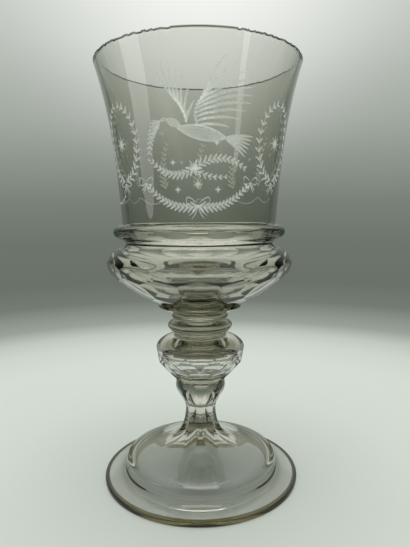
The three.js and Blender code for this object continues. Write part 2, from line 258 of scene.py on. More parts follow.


# Fire-polished and slightly wavy, so reflections swim on the dome. The light that runs along inside
# the flange comes out at its rim, which a dark brown-green tint on the rim's skin stands for:
# partly the glass's own cast at full depth, partly painted shade.
foot_glass = pot_glass("drawn foot glass", ripple=0.03 * MM, ripple_length=18 * MM, density=66.0)
foot_tree = foot_glass.node_tree
foot_place = add(foot_tree, "ShaderNodeTexCoord")
level_place = add(foot_tree, "ShaderNodeVectorMath", {"operation": "MULTIPLY", 1: (1, 1, 0)},
                  {0: foot_place.outputs["Object"]})
from_axis = add(foot_tree, "ShaderNodeVectorMath", {"operation": "LENGTH"},
                {0: level_place.outputs["Vector"]})
painted_shade_at_rim = add(foot_tree, "ShaderNodeMapRange",
             {"From Min": FOOT_RADIUS - RIM_DEPTH - RIM_BLEND, "From Max": FOOT_RADIUS - RIM_DEPTH},
             {"Value": from_axis.outputs["Value"]})
rim_painted_shade = add(foot_tree, "ShaderNodeMixRGB",
           {"Color1": linear("#FFFFFF"), "Color2": linear(RIM_PAINTED_SHADE)},
           {"Fac": painted_shade_at_rim.outputs["Result"]})
foot_skin = next(node for node in foot_tree.nodes if node.type == "BSDF_PRINCIPLED")
foot_tree.links.new(rim_painted_shade.outputs["Color"], foot_skin.inputs["Base Color"])

throat = (THROAT_RADIUS, THROAT_HEIGHT)
lip = (STEP_RADIUS - RISER_WALL, LIP_HEIGHT)
shoulder = (lip[0] - SHOULDER_INSET, STEP_TOP - STEP_WALL)
dome_foot = (STEP_RADIUS - STEP_ROUND, STEP_TOP)
flange_top = (FOOT_RADIUS - EDGE_ROUND, FLANGE_EDGE)
foot_line = outline(
    bent((0, FOOT_TOP - PEAK_WALL), throat, (0.13, 0), (0.35, 0.54), steps=20),
    bent(throat, shoulder, (0.42, 0.57), (0.68, 0.74), steps=20),
    bent(shoulder, lip, (0.73, 0.27), (0.96, 0.47)),
    bent(lip, (lip[0] + LIP_SPREAD, 0), (0.1, 0.94), (0.4, 0.95)),
    bent((FOOT_RADIUS - EDGE_ROUND, 0), (FOOT_RADIUS, EDGE_ROUND), (1, 0), steps=8),
    bent((FOOT_RADIUS, FLANGE_EDGE - EDGE_ROUND), flange_top, (0, 1), steps=8),
    bent(flange_top, (STEP_RADIUS, STEP_FOOT), (0.8718, 0.4762), steps=20),
    bent((STEP_RADIUS, STEP_TOP - STEP_ROUND), dome_foot, (0.09375, 0.875), steps=12))[:-1]
dome = bent(dome_foot, (FOOT_NECK, FOOT_TOP), (0.346, 0.17), (0.83373, 0.52), steps=DOME_STEPS)
dome[-1, 1] = FOOT_TOP - WELD_GAP

# The flat top has one more row of points half way in, and closes at the axis.
foot_rows = np.vstack([np.repeat(foot_line[:, :1], COLUMNS, axis=1), fluted(dome),
                       fluted(dome[-1:]) * END_ROW, np.zeros((1, COLUMNS))])
foot_heights = np.concatenate([foot_line[:, 1], dome[:, 1], dome[[-1, -1], 1]])
finish("foot_glass_body", turned(foot_rows, foot_heights), foot_glass,
       [(FOOT_TOP, FOOT_NECK)], "foot", arris=SOFT_ARRIS)

# Stem. A solid baluster of the same glass with a round capital, drawn out of the gather below the
# knop. Its eight long flutes are ground cold on a stone wheel and polished. Hot welds join it to
# the foot and the knop.
STEM_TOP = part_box("stem")[1].z
WAIST_RADIUS = 9.05 * MM
CAPITAL_RADIUS = 14.9 * MM
CAPITAL_ROUND = 0.4 * MM
KNOP_WELD = 13.5 * MM
stem_line = outline(
    bent((FOOT_NECK, FOOT_TOP + WELD_GAP), (WAIST_RADIUS, WAIST), (0.55, 0.21), (1, 0.61),
         steps=50),
    bent((WAIST_RADIUS, WAIST), (CAPITAL_RADIUS, CAPITAL), (0, 0.48), (0.9, 0.61), steps=60),
    (CAPITAL_RADIUS - CAPITAL_ROUND, STEM_TOP - WELD_GAP), (KNOP_WELD, STEM_TOP - WELD_GAP))
stem_rows = fluted(stem_line)
stem_end = np.zeros((1, COLUMNS))
stem_rows = np.vstack([stem_end, stem_rows[:1] * END_ROW, stem_rows, stem_end])
stem_heights = stem_line[[0, 0, *range(len(stem_line)), -1], 1]

# Ground and polished, so it is smoother than the foot, and clear with hardly any cast.
stem_glass = pot_glass("ground stem glass", ripple=0.02 * MM, ripple_length=12 * MM, density=38.0)
finish("fluted_stem", turned(stem_rows, stem_heights), stem_glass,
       [(FOOT_TOP, FOOT_NECK), (STEM_TOP, KNOP_WELD)], "stem", arris=SOFT_ARRIS)

# Knop. A ball of the same glass, blown round a bubble, pressed flat on top and left smooth there.
# Below its widest line it is cut on the wheel with two rows of ten flats, and a last narrow row at
# its foot.
knop_low, knop_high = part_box("knop")
KNOP_FOOT = knop_low.z
KNOP_TOP = knop_high.z
KNOP_FOOT_RADIUS = 14.3 * MM
KNOP_RADIUS = 26.2 * MM
KNOP_WIDEST = KNOP_FOOT + 19.7 * MM
KNOP_SIDE = KNOP_WIDEST + 4.0 * MM
KNOP_CROWN = 20.3 * MM
KNOP_TOP_RADIUS = 15.8 * MM
COLLAR_SEAT = 15.6 * MM
KNOP_FLATS = 10
UPPER_FLAT_RADIUS = 24.95 * MM
MIDDLE_FLAT_DRAW = 2.6 * MM
MIDDLE_FLAT_TOP = KNOP_WIDEST - 0.6 * MM
MIDDLE_FLAT_FOOT = KNOP_WIDEST - 12.0 * MM
LOWER_FLAT_FOOT_RADIUS = 13.6 * MM
LOWER_FLAT_RADIUS = 23.75 * MM
LOWER_FLAT_TOP = KNOP_FOOT + 10.9 * MM

# The bubble's control points: radius and height above the knop's foot, in millimetres.
BUBBLE_ROOF = ((0, 20.5), (20.5, 20.5), (22.0, 18.5), (21.5, 14.0))
BUBBLE_FLOOR = ((21.5, 14.0), (19.5, 4.5), (12.0, 3.5), (0, 3.5))


def above(base, *points):
    """Radius and height of points given in millimetres, with the height counted from the base."""
    return np.array(points, float) * MM + (0, base)


def grind_flats(body, count, first, low, high):
    """Grinds a ring of flats. Each takes off what lies past the plane that holds the line from low
    to high, two pairs of radius and height, and that faces out at its azimuth."""
    rise, run = high[1] - low[1], high[0] - low[0]
    length = math.hypot(rise, run)
    for k in range(count):
        azimuth = first + k * 2 * math.pi / count
        out = Vector((math.cos(azimuth), math.sin(azimuth), 0))
        normal = out * (rise / length) - Vector((0, 0, run / length))
        cut = bmesh.ops.bisect_plane(
            body, geom=[*body.verts, *body.edges, *body.faces], dist=DOUBLED,
            plane_co=out * low[0] + Vector((0, 0, low[1])), plane_no=normal, clear_outer=True)
        rim = [e for e in cut["geom_cut"] if isinstance(e, bmesh.types.BMEdge)]
        for face in bmesh.ops.contextual_create(body, geom=rim)["faces"]:
            face.normal_update()
            if face.normal.dot(normal) < 0:
                face.normal_flip()


knop_foot, knop_seat = KNOP_FOOT + WELD_GAP, KNOP_TOP - WELD_GAP
knop_line = outline(
    (0, knop_foot), (KNOP_WELD, knop_foot), (KNOP_FOOT_RADIUS, knop_foot),
    (KNOP_RADIUS, MIDDLE_FLAT_FOOT),
    curve((KNOP_RADIUS, KNOP_WIDEST), (KNOP_RADIUS, KNOP_SIDE), (KNOP_CROWN, KNOP_TOP),
          (KNOP_TOP_RADIUS, KNOP_TOP), steps=28),
    (COLLAR_SEAT, knop_seat), (0, knop_seat))
knop = turned(knop_line[:, 0], knop_line[:, 1])
half_flat = math.pi / KNOP_FLATS
grind_flats(knop, KNOP_FLATS, FRONT,
            (UPPER_FLAT_RADIUS, KNOP_FOOT), (UPPER_FLAT_RADIUS, KNOP_WIDEST))
grind_flats(knop, KNOP_FLATS, FRONT + half_flat,
            (UPPER_FLAT_RADIUS - MIDDLE_FLAT_DRAW, MIDDLE_FLAT_FOOT),
            (UPPER_FLAT_RADIUS / math.cos(half_flat), MIDDLE_FLAT_TOP))
grind_flats(knop, KNOP_FLATS, FRONT,
            (LOWER_FLAT_FOOT_RADIUS, KNOP_FOOT), (LOWER_FLAT_RADIUS, LOWER_FLAT_TOP))
bubble_line = outline(curve(*above(KNOP_FOOT, *BUBBLE_ROOF), steps=20),
                      curve(*above(KNOP_FOOT, *BUBBLE_FLOOR), steps=24))
bubble = turned(bubble_line[:, 0], bubble_line[:, 1])
bubble_skin = bpy.data.meshes.new("bubble")
bubble.to_mesh(bubble_skin)
bubble.free()
knop.from_mesh(bubble_skin)
bpy.data.meshes.remove(bubble_skin)

# Polished flats with crisp arrises, which break what is behind them into bright and dark facets.
knop_glass = pot_glass("cut knop glass", ripple=0.01 * MM, ripple_length=12 * MM, density=80.0)
finish("cut_knop", knop, knop_glass, [(KNOP_FOOT, KNOP_WELD), (KNOP_TOP, COLLAR_SEAT)],
       "knop")

# Collar. A thin wafer of the same glass, laid hot on the knop and turned with three small steps. It
# takes the bead above it.
collar_low, collar_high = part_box("knop_collar")
COLLAR_RADII = (15.7 * MM, 15.4 * MM, 15.0 * MM)
COLLAR_GROOVE = 0.5 * MM
COLLAR_SWELL = 0.3 * MM
BEAD_SEAT = 14.3 * MM


def turned_between(line, low, high, columns=COLUMNS):
    """The turned line, with its flat ends drawn back from low and high by the weld gap."""
    return turned(line[:, 0], np.clip(line[:, 1], low + WELD_GAP, high - WELD_GAP), columns)


step_height = (collar_high.z - collar_low.z) / len(COLLAR_RADII)
collar_steps = []
for k, step_radius in enumerate(COLLAR_RADII):
    step_foot = collar_low.z + k * step_height
    collar_steps.append(curve((step_radius - COLLAR_GROOVE, step_foot),
                              (step_radius + COLLAR_SWELL, step_foot + step_height / 2),
                              (step_radius - COLLAR_GROOVE, step_foot + step_height), steps=8))
collar_line = outline((0, collar_low.z), (COLLAR_SEAT - COLLAR_GROOVE, collar_low.z), *collar_steps,
                      (BEAD_SEAT, collar_high.z), (0, collar_high.z))

# Turned and fire-polished, so its round edges draw thin bright and dark lines.
wafer_glass = pot_glass("turned wafer glass", ripple=0.02 * MM, ripple_length=12 * MM, density=65.0)
finish("stepped_collar", turned_between(collar_line, collar_low.z, collar_high.z), wafer_glass,
       [(collar_low.z, COLLAR_SEAT), (collar_high.z, BEAD_SEAT)], "knop_collar")

# Bead. A round ring-shaped merese of solid glass between the knop's collar and the button, laid hot
# and left as the tool turned it.
bead_low, bead_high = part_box("stem_merese")
BEAD_RADIUS = 19.1 * MM
BEAD_ROUND = 0.3 * MM
BUTTON_SEAT = 13.8 * MM
bead_rise = bead_high.z - bead_low.z
bead_side = (BEAD_RADIUS, bead_low.z + 0.5 * bead_rise)
bead_line = outline(
    (0, bead_low.z), (BEAD_SEAT, bead_low.z),
    curve((BEAD_SEAT, bead_low.z), (BEAD_RADIUS - BEAD_ROUND, bead_low.z + 0.1 * bead_rise),
          bead_side, steps=20),
    curve(bead_side, (BEAD_RADIUS - BEAD_ROUND, bead_low.z + 0.86 * bead_rise),
          (BUTTON_SEAT, bead_high.z), steps=20),
    (0, bead_high.z))
finish("round_bead", turned_between(bead_line, bead_low.z, bead_high.z), wafer_glass,
       [(bead_low.z, BEAD_SEAT), (bead_high.z, BUTTON_SEAT)], "stem_merese")

# Button. A small round button of solid glass, laid hot on the bead and rounded with the tool. It
# carries the wafer under the bowl.
button_low, button_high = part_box("bowl_button")
BUTTON_THROAT = 14.2 * MM
BUTTON_SIDE = 16.3 * MM
BUTTON_ROUND = 17.2 * MM
MERESE_SEAT = 15.2 * MM
MERESE_FILLET = 15.5 * MM
button_rise = button_high.z - button_low.z
button_side = (BUTTON_SIDE, button_low.z + 0.3 * button_rise)
button_line = outline(
    (0, button_low.z), (BUTTON_SEAT, button_low.z),
    curve((BUTTON_SEAT, button_low.z), (BUTTON_THROAT, button_low.z + 0.25 * button_rise),
          button_side, steps=10),
    curve(button_side, (BUTTON_ROUND, button_low.z + 0.65 * button_rise),
          (MERESE_FILLET, button_high.z), steps=16),
    (MERESE_SEAT, button_high.z), (0, button_high.z))
finish("small_button", turned_between(button_line, button_low.z, button_high.z), wafer_glass,
       [(button_low.z, BUTTON_SEAT), (button_high.z, MERESE_SEAT)], "bowl_button")

# Merese. The sharp-edged saucer-shaped wafer of the same glass that the bowl was set on, spun out
# thin at its edge.
merese_low, merese_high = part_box("bowl_merese")
CUSHION_SEAT = 21.0 * MM
MERESE_TOP_RADIUS = 22.4 * MM

# Its control points: radius and height above its foot, in millimetres.
MERESE_UNDERSIDE = ((15.2, 0), (18.2, 1.7), (24.3, 4.3))
MERESE_EDGE = ((24.3, 4.3), (24.5, 4.55), (24.3, 4.8))
merese_line = outline(
    (0, merese_low.z), curve(*above(merese_low.z, *MERESE_UNDERSIDE), steps=16),
    curve(*above(merese_low.z, *MERESE_EDGE), steps=8),
    (MERESE_TOP_RADIUS, merese_high.z), (CUSHION_SEAT, merese_high.z), (0, merese_high.z))
finish("sharp_merese", turned_between(merese_line, merese_low.z, merese_high.z), wafer_glass,
       [(merese_low.z, MERESE_SEAT), (merese_high.z, CUSHION_SEAT)], "bowl_merese")

# Cushion. The thick lower gather of the bowl, blown hollow, with a smooth shoulder. Its underside
# is cut on the wheel with three rows of fourteen flats, and the cup's inside runs on down into it.
# Its curves are control points, each a radius and a height above its foot, in millimetres.
cushion_low, cushion_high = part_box("bowl_cushion")
BOWL_FLATS = 14
BOWL_COLUMNS = 504
CUP_FOOT = 44.0 * MM
CUP_FOOT_WALL = 4.2 * MM
RING_SEAT = 46.6 * MM
cushion_rise = (cushion_high.z - cushion_low.z) / MM
CUSHION_UNDERSIDE = ((22.0, 0), (46.9, 10.88), (53.3, 18.65), (53.3, 25.0))
CUSHION_SHOULDER = ((53.3, 25.0), (53.3, 29.0), (47.6, 34.6), (42.6, 36.0))
RING_SADDLE = ((42.6, 36.0), (42.9, 38.2), (RING_SEAT / MM, cushion_rise))
INNER_NECK = (((CUP_FOOT - CUP_FOOT_WALL) / MM, cushion_rise), (38.6, 35.2), (48.6, 33.6),
              (47.0, 26.5))
INNER_SIDE = ((47.0, 26.5), (45.6, 21.0), (41.5, 18.4), (37.9, 15.9))
INNER_FLOOR = 8.0
FLOOR_RISE = ((37.9, 15.9), (31.5, 11.5), (26.5, INNER_FLOOR), (19.0, INNER_FLOOR))

# The rows of flats meet at two ridges. A run is the radius that a row gains for its height.
RIDGE_RADIUS = 49.1
RIDGE_HEIGHT = 16.7
SHOULDER_CUT = (53.4, 27.2)
MIDDLE_RUN = 1.3
LOWER_RUN = 2.1
LOWER_RIDGE_HEIGHT = 7.5
cushion_line = outline(
    (0, cushion_low.z), (CUSHION_SEAT, cushion_low.z),
    curve(*above(cushion_low.z, *CUSHION_UNDERSIDE), steps=36),
    curve(*above(cushion_low.z, *CUSHION_SHOULDER), steps=28),
    curve(*above(cushion_low.z, *RING_SADDLE), steps=10),
    (CUP_FOOT, cushion_high.z),
    curve(*above(cushion_low.z, *INNER_NECK), steps=28),
    curve(*above(cushion_low.z, *INNER_SIDE), steps=16),
    curve(*above(cushion_low.z, *FLOOR_RISE), steps=20),
    above(cushion_low.z, (0, INNER_FLOOR)))
cushion = turned_between(cushion_line, cushion_low.z, cushion_high.z, BOWL_COLUMNS)
half_bowl_flat = math.pi / BOWL_FLATS
middle_radius = RIDGE_RADIUS * math.cos(half_bowl_flat)
lower_radius = middle_radius - MIDDLE_RUN * (RIDGE_HEIGHT - LOWER_RIDGE_HEIGHT)
lower_radius = lower_radius / math.cos(half_bowl_flat)
grind_flats(cushion, BOWL_FLATS, FRONT + half_bowl_flat,
            *above(cushion_low.z, (RIDGE_RADIUS, RIDGE_HEIGHT), SHOULDER_CUT))
grind_flats(cushion, BOWL_FLATS, FRONT,
            *above(cushion_low.z, (middle_radius - MIDDLE_RUN * RIDGE_HEIGHT, 0),
                   (middle_radius, RIDGE_HEIGHT)))
grind_flats(cushion, BOWL_FLATS, FRONT + half_bowl_flat,
            *above(cushion_low.z, (lower_radius - LOWER_RUN * LOWER_RIDGE_HEIGHT, 0),
                   (lower_radius, LOWER_RIDGE_HEIGHT)))

# Polished flats on a thick wall: the facets repeat the floor's tones, and the cast is deepest here.
cushion_glass = pot_glass("cut cushion glass", ripple=0.01 * MM, ripple_length=12 * MM)
finish("cut_cushion", cushion, cushion_glass,
       [(cushion_low.z, CUSHION_SEAT), (cushion_high.z, RING_SEAT)], "bowl_cushion")

# Ring. A trail of glass laid hot round the foot of the cup, round in section. Below it is cut on
# the wheel with a row of shallow lenses, as many as the cushion has flats.
ring_low, ring_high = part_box("bowl_ring")
RING_RADIUS = ring_high.x
RING_STEPS = 40
LENS_FOOT_DEPTH = 1.6 * MM
LENS_TOP_DEPTH = 0.4 * MM
ring_section = (ring_high.z - ring_low.z) / 2
ring_middle = RING_RADIUS - ring_section
seam = CUP_FOOT + WELD_GAP
ring_foot = ring_low.z + WELD_GAP
section_turn = np.linspace(-math.acos((RING_SEAT - ring_middle) / ring_section),
                           math.pi - math.acos((ring_middle - CUP_FOOT) / ring_section), RING_STEPS)
seam_top = ring_low.z + ring_section * (1 + math.sin(section_turn[-1]))
ring_line = outline(
    (seam, ring_foot), (RING_SEAT, ring_foot),
    np.stack([ring_middle + ring_section * np.cos(section_turn),
              ring_low.z + ring_section * (1 + np.sin(section_turn))], axis=1),
    (seam, seam_top), (seam, ring_foot))
ring = turned(ring_line[:, 0], ring_line[:, 1], BOWL_COLUMNS)
grind_flats(ring, BOWL_FLATS, FRONT + half_bowl_flat, (RING_RADIUS - LENS_FOOT_DEPTH, ring_low.z),
            (RING_RADIUS - LENS_TOP_DEPTH, ring_low.z + ring_section))

# Smooth above and polished below, so it draws one bright line and a row of small lenses.
ring_glass = pot_glass("laid ring glass", ripple=0.01 * MM, ripple_length=12 * MM)
finish("cut_ring", ring, ring_glass, [(ring_low.z, RING_SEAT)], "bowl_ring",
       bore=(seam, ring_low.z, ring_high.z))

# Cup. The blown and flared drinking cup, thin-walled, with a fire-polished rim that use has nicked.
# Its wall is streaky where the gather was drawn down.
cup_low, cup_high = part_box("bowl_cup")
CUP_COLUMNS = 720
CUP_ROWS = 56
LIP_ROWS = 16
RIM_RADIUS = cup_high.x
RIM_WALL = 2.7 * MM
STRAIGHT_SHARE = 0.5

# Stretches of the rim with nicks: two azimuths, and how many nicks lie between them.
NICKS = ((-3.05, -2.15, 44), (-2.1, -1.75, 14), (-1.25, -0.25, 44), (0.75, 1.35, 24),
         (1.9, 2.5, 26))
NICK_DEPTH = (0.17 * MM, 0.85 * MM)
NICK_LENGTH = (0.45 * MM, 1.35 * MM)
rim_round = RIM_WALL / 2
wall_foot = ring_high.z
wall_rise = cup_high.z - rim_round - wall_foot


def flare(share):
    """The outer radius of the cup at a share of the way up its wall: part of the flare grows evenly
    and the rest with the cube of the share, so the cup opens most below its rim."""
    opening = STRAIGHT_SHARE * share + (1 - STRAIGHT_SHARE) * share**3
    return CUP_FOOT + (RIM_RADIUS - CUP_FOOT) * opening


share_up = np.linspace(0, 1, CUP_ROWS + 1)
outer_wall = np.stack([flare(share_up), wall_foot + share_up * wall_rise], axis=1)
wall_thickness = CUP_FOOT_WALL + (RIM_WALL - CUP_FOOT_WALL) * share_up
inner_wall = np.stack([outer_wall[:, 0] - wall_thickness, outer_wall[:, 1]], axis=1)[::-1]
turn_over = np.linspace(0, np.pi, LIP_ROWS + 1)[1:-1]
rim_lip = np.stack([RIM_RADIUS - rim_round + rim_round * np.cos(turn_over),
                    cup_high.z - rim_round + rim_round * np.sin(turn_over)], axis=1)
cup_foot = cup_low.z + WELD_GAP
cup_line = outline((CUP_FOOT, cup_foot), (CUP_FOOT, seam_top), outer_wall, rim_lip, inner_wall,
                   (CUP_FOOT - CUP_FOOT_WALL, cup_foot), (CUP_FOOT, cup_foot))
chance = np.random.default_rng(7)
nick_places = np.concatenate([chance.uniform(*stretch) for stretch in NICKS])[:, None]
nick_depths = chance.uniform(*NICK_DEPTH, nick_places.shape)
nick_spans = chance.uniform(*NICK_LENGTH, nick_places.shape) / RIM_RADIUS
from_nick = (azimuths(CUP_COLUMNS) - nick_places + np.pi) % (2 * np.pi) - np.pi
nicks = (nick_depths * np.clip(1 - (from_nick / nick_spans) ** 2, 0, 1)).max(axis=0)
near_rim = np.clip((cup_line[:, 1:] - cup_high.z + rim_round) / rim_round, 0, 1)
outer_side = np.clip((cup_line[:, :1] - RIM_RADIUS + rim_round) / rim_round, 0, 1)
cup_radius = cup_line[:, :1] - near_rim * outer_side * nicks
cup_height = cup_line[:, 1:] - near_rim**2 * nicks

# Blown, so long soft streaks run down it. The film is the faint grey of its skin.
cup_glass = pot_glass("blown cup glass", ripple=0.05 * MM, ripple_length=6 * MM, stretch=9.0,
                      density=55.0, film="#F4F4F0")
finish("blown_cup", turned(cup_radius, cup_height, CUP_COLUMNS), cup_glass,
       [(cup_low.z, CUP_FOOT)], "bowl_cup", bore=(CUP_FOOT, cup_low.z, seam_top))

# Engraving. Cuts ground into the outside of the cup on small copper wheels and left matt, each a
# tapered lens as the wheel's edge leaves it. The design is of the common kind for such goblets: a
# dove above twigs and a swag at the front, a wreath at each side, and sprigs and stars behind.
DESIGN_RADIUS = 46.0 * MM
CUT_STEPS = 12
CUT_END = 0.03
CUT_TAPER = 0.6
CUT_STAND = np.array([0.020, 0.008, 0.020, 0.048]) * MM
TWIG_WIDTH = 0.4
LEAF_BEND = (0.6, 0.25)
LEAF_SPREAD = 0.7
LAST_LEAF = 0.55
RIBBON_WIDTH = 0.6
HALF_BOW = (((0, 0), (1.6, 1.5), (1.3, 0)), ((1.3, 0), (1.2, -0.9), (0, 0)),
            ((0, 0), (0.3, -0.8), (1.1, -1.3)), ((0, 0), (0.1, -1.0), (0.8, -1.7)))
RAY_WIDTH = 0.6
SHORT_RAY = 0.6
LAUREL_LEAF = 4.8
LAUREL_WIDTH = 1.1
LAUREL_SPREAD = 0.75
LAUREL_SWEEP = np.linspace(-0.46 * np.pi, 0.42 * np.pi, 13)
WREATH_BOW = 4.0
EDGE_LIFT = 0.1
COVERT_LIFT = 0.2
MATT_WHITE = "#F6F8F4"
# Painted glow of the matt cuts: a faint light that they give off, though they are no lamp.
MATT_PAINTED_GLOW = "#E9EEE8"
PAINTED_GLOW_STRENGTH = 0.22
GRIT = 0.4 * MM
GRIT_RANGE = (0.35, 0.65)
MATT_COVER = (0.3, 0.5)


def cuts(start, bend, end, width):
    """Rows of cuts: start, bend and end point, each a distance to the right of the front and a
    height, and the width, all in millimetres. Single values are repeated for all rows."""
    points = [np.atleast_2d(np.array(point, float)) for point in (start, bend, end)]
    count = max(len(point) for point in points)
    points = [np.broadcast_to(point, (count, 2)) for point in points]
    return np.hstack([*points, np.full((count, 1), float(width))])


def beside(along):
    """Each direction turned a quarter to the left."""
    return np.stack([-along[..., 1], along[..., 0]], axis=-1)


def spindle(start, end, swell, count, width):
    """A body filled with cuts from one point to the other, bent aside from -swell to swell."""
    start, end = np.array(start, float), np.array(end, float)
    aside = beside((end - start) / np.linalg.norm(end - start))
    bend = (start + end) / 2 + np.linspace(-2 * swell, 2 * swell, count)[:, None] * aside
    return cuts(start, bend, end, width)


def fan(roots, tips, lift, width):
    """Feathers: a cut from each root to its tip, bent to the left by the lift."""
    return cuts(roots, (roots + tips) / 2 + lift * beside(tips - roots), tips, width)


def wing(roots, tips, lift, covert, widths):
    """A wing: its long feathers, the edge that joins their roots, and a row of short feathers over
    them, each the covert's share of its neighbour. The widths are of the three, in that order."""
    long_width, edge_width, short_width = widths
    short_tips = roots[1:] + covert * (tips - roots)[:-1]
    return np.vstack([fan(roots, tips, lift, long_width),
                      fan(roots[:-1], roots[1:], EDGE_LIFT, edge_width),
                      fan(roots[1:], short_tips, COVERT_LIFT, short_width)])


def spray(line, leaf, width, spread=LEAF_SPREAD):
    """A twig along a line, with a pair of leaves at each point. A leaf leaves the twig at the
    spread angle, and is shorter towards the tip."""
    along = np.gradient(line, axis=0)
    along = along / np.linalg.norm(along, axis=1, keepdims=True)
    size = leaf * np.linspace(1.0, LAST_LEAF, len(line))[:, None]
    sprig = [cuts(line[:-1], (line[:-1] + line[1:]) / 2, line[1:], TWIG_WIDTH)]
    for hand in (1, -1):
        aside = hand * beside(along)
        belly = line + size * (LEAF_BEND[0] * along + LEAF_BEND[1] * aside)
        tip = line + size * (math.cos(spread) * along + math.sin(spread) * aside)
        sprig.append(cuts(line, belly, tip, width))
    return np.vstack(sprig)


def bow(place, size):
    """A ribbon tied in a bow: on each side of its knot a loop and a tail, each of two cuts."""
    return np.vstack([cuts(*(np.array(place) + size * np.array(cut) * (hand, 1)), RIBBON_WIDTH)
                      for hand in (-1, 1) for cut in HALF_BOW])


def star(place, size, rays=8):
    """A star of rays, long and short in turn."""
    turn = np.linspace(0, 2 * np.pi, rays, endpoint=False)[:, None]
    reach = size * np.where(np.arange(rays) % 2, SHORT_RAY, 1.0)[:, None]
    tips = np.array(place, float) + reach * np.hstack([np.cos(turn), np.sin(turn)])
    return cuts(place, (tips + place) / 2, tips, RAY_WIDTH)


def wreath(centre, wide, tall):
    """Two twigs of laurel that bend up both sides of an oval from a bow at its foot."""
    oval = np.stack([wide * np.cos(LAUREL_SWEEP), tall * np.sin(LAUREL_SWEEP)], axis=1)
    twigs = [spray(np.array(centre) + oval * (hand, 1), LAUREL_LEAF, LAUREL_WIDTH, LAUREL_SPREAD)
             for hand in (1, -1)]
    return np.vstack([*twigs, bow((centre[0], centre[1] - tall - 0.5), WREATH_BOW)])


def lens_cuts(design):
    """Points and faces of the cuts. A cut follows the curve (1-t)^2 start + 2t(1-t) bend + t^2 end,
    rolled round the cup, with the half width (width / 2) sin(pi t)^CUT_TAPER. Its section has four
    corners, left, under, right and crest, which stand off the wall by CUT_STAND."""
    t = np.linspace(CUT_END, 1 - CUT_END, CUT_STEPS + 1)[:, None]
    start, bend, end, width = np.split(design[:, None], (2, 4, 6), axis=-1)
    middle = (1 - t) ** 2 * start + 2 * t * (1 - t) * bend + t**2 * end
    along = 2 * (1 - t) * (bend - start) + 2 * t * (end - bend)
    along = along / np.linalg.norm(along, axis=-1, keepdims=True)
    aside = width / 2 * np.sin(np.pi * t) ** CUT_TAPER * beside(along)
    section = np.stack([middle + aside, middle, middle - aside, middle], axis=2) * MM
    turn = FRONT + section[..., 0] / DESIGN_RADIUS
    height = section[..., 1]
    radius = flare(np.clip((height - wall_foot) / wall_rise, 0, 1)) + CUT_STAND
    points = np.stack([radius * np.cos(turn), radius * np.sin(turn), height], axis=-1)
    first = 4 * (CUT_STEPS + 1) * np.arange(len(design))[:, None, None]
    row = first + 4 * np.arange(CUT_STEPS)[:, None]
    corner, following = np.arange(4), (np.arange(4) + 1) % 4
    sides = np.stack([row + corner, row + following,
                      row + 4 + following, row + 4 + corner], axis=-1)
    near_caps = first[:, 0] + np.array([0, 3, 2, 1])
    far_caps = first[:, 0] + 4 * CUT_STEPS + np.array([0, 1, 2, 3])
    return points.reshape(-1, 3), np.vstack([sides.reshape(-1, 4), near_caps, far_caps])


# The design is drawn in millimetres, to the right of the front and up from the floor.
tail_steps = np.linspace(0, 1, 6)[:, None]
dove = np.vstack([
    spindle((-10, 197), (14, 192), 3.0, 11, 0.5),
    spindle((-14.5, 201), (-7.5, 197.5), 1.7, 7, 0.5),
    cuts((-10, 197), (3, 200.4), (14, 192), 0.7),
    cuts((-10, 197), (2, 187.6), (14, 192), 0.8),
    cuts((-14, 201.4), (-16, 201.6), (-17.4, 200.2), 0.8),
    cuts((-14, 200.4), (-16, 200.6), (-17.2, 200.0), 0.6),
    wing(curve((4, 212), (-3.5, 206), (0, 197.5), steps=9),
         curve((12, 229), (39, 215), (15, 197), steps=9), 0.14, 0.38, (1.3, 1.5, 1.1)),
    wing(curve((-10, 210), (-6, 205), (-5, 199), steps=6),
         curve((-18, 226), (-7, 231), (-1, 209), steps=6), 0.12, 0.4, (1.1, 1.3, 0.9)),
    fan(tail_steps * (0.0, -1.4) + (13.0, 192.8), tail_steps * (-4.0, -10.0) + (28.0, 193.5),
        0.06, 1.3),
    spray(curve((-17, 200.5), (-22, 198), (-24, 187), steps=8), 4.4, 1.1)])
bouquet = np.vstack([
    spray(curve((-2, 178), (-12, 171), (-22, 181), steps=10), 4.2, 1.1),
    spray(curve((-2, 178), (10, 187), (23, 179), steps=11), 4.2, 1.1),
    spray(curve((-2, 178), (4, 173), (13, 174), steps=6), 3.4, 0.9),
    star((-2, 178.5), 4.2, 12), star((-12, 181), 1.5), star((9, 190), 1.5)])
swag = np.vstack([
    spray(curve((0, 160), (14, 157), (25, 169), steps=12), 4.4, 1.2),
    spray(curve((0, 160), (-14, 157), (-25, 169), steps=12), 4.4, 1.2),
    bow((0, 161), 4.4), bow((28, 172), 3.2), bow((-28, 172), 3.2),
    star((-10, 168), 1.7), star((10, 168), 1.7), star((0, 170.5), 2.1)])
quarter = np.pi / 2 * DESIGN_RADIUS / MM
wreath_place = 0.62 * quarter
sprig_spacing = 0.34 * quarter
design = [dove, bouquet, swag]
for hand in (1, -1):
    design.append(wreath((hand * wreath_place, 192), 13, 19))
    design.append(star((hand * wreath_place, 192), 4.5, 16))
for k in range(-3, 4):
    place = 2 * quarter + k * sprig_spacing
    scallop = curve((place, 166), (place + sprig_spacing / 2, 158), (place + sprig_spacing, 166),
                    steps=9)
    design.append(spray(curve((place, 172), (place + 4, 184), (place - 2, 200), steps=9), 5.4, 1.2))
    design.append(star((place, 208), 2.6))
    design.append(star((place + sprig_spacing / 2, 190), 1.7))
    design.append(fan(scallop[:-1], scallop[1:], 0.25, 0.9))
cut_points, cut_faces = lens_cuts(np.vstack(design))
engraved = bpy.data.meshes.new("wheel_engraving")
engraved.from_pydata(cut_points, [], cut_faces)
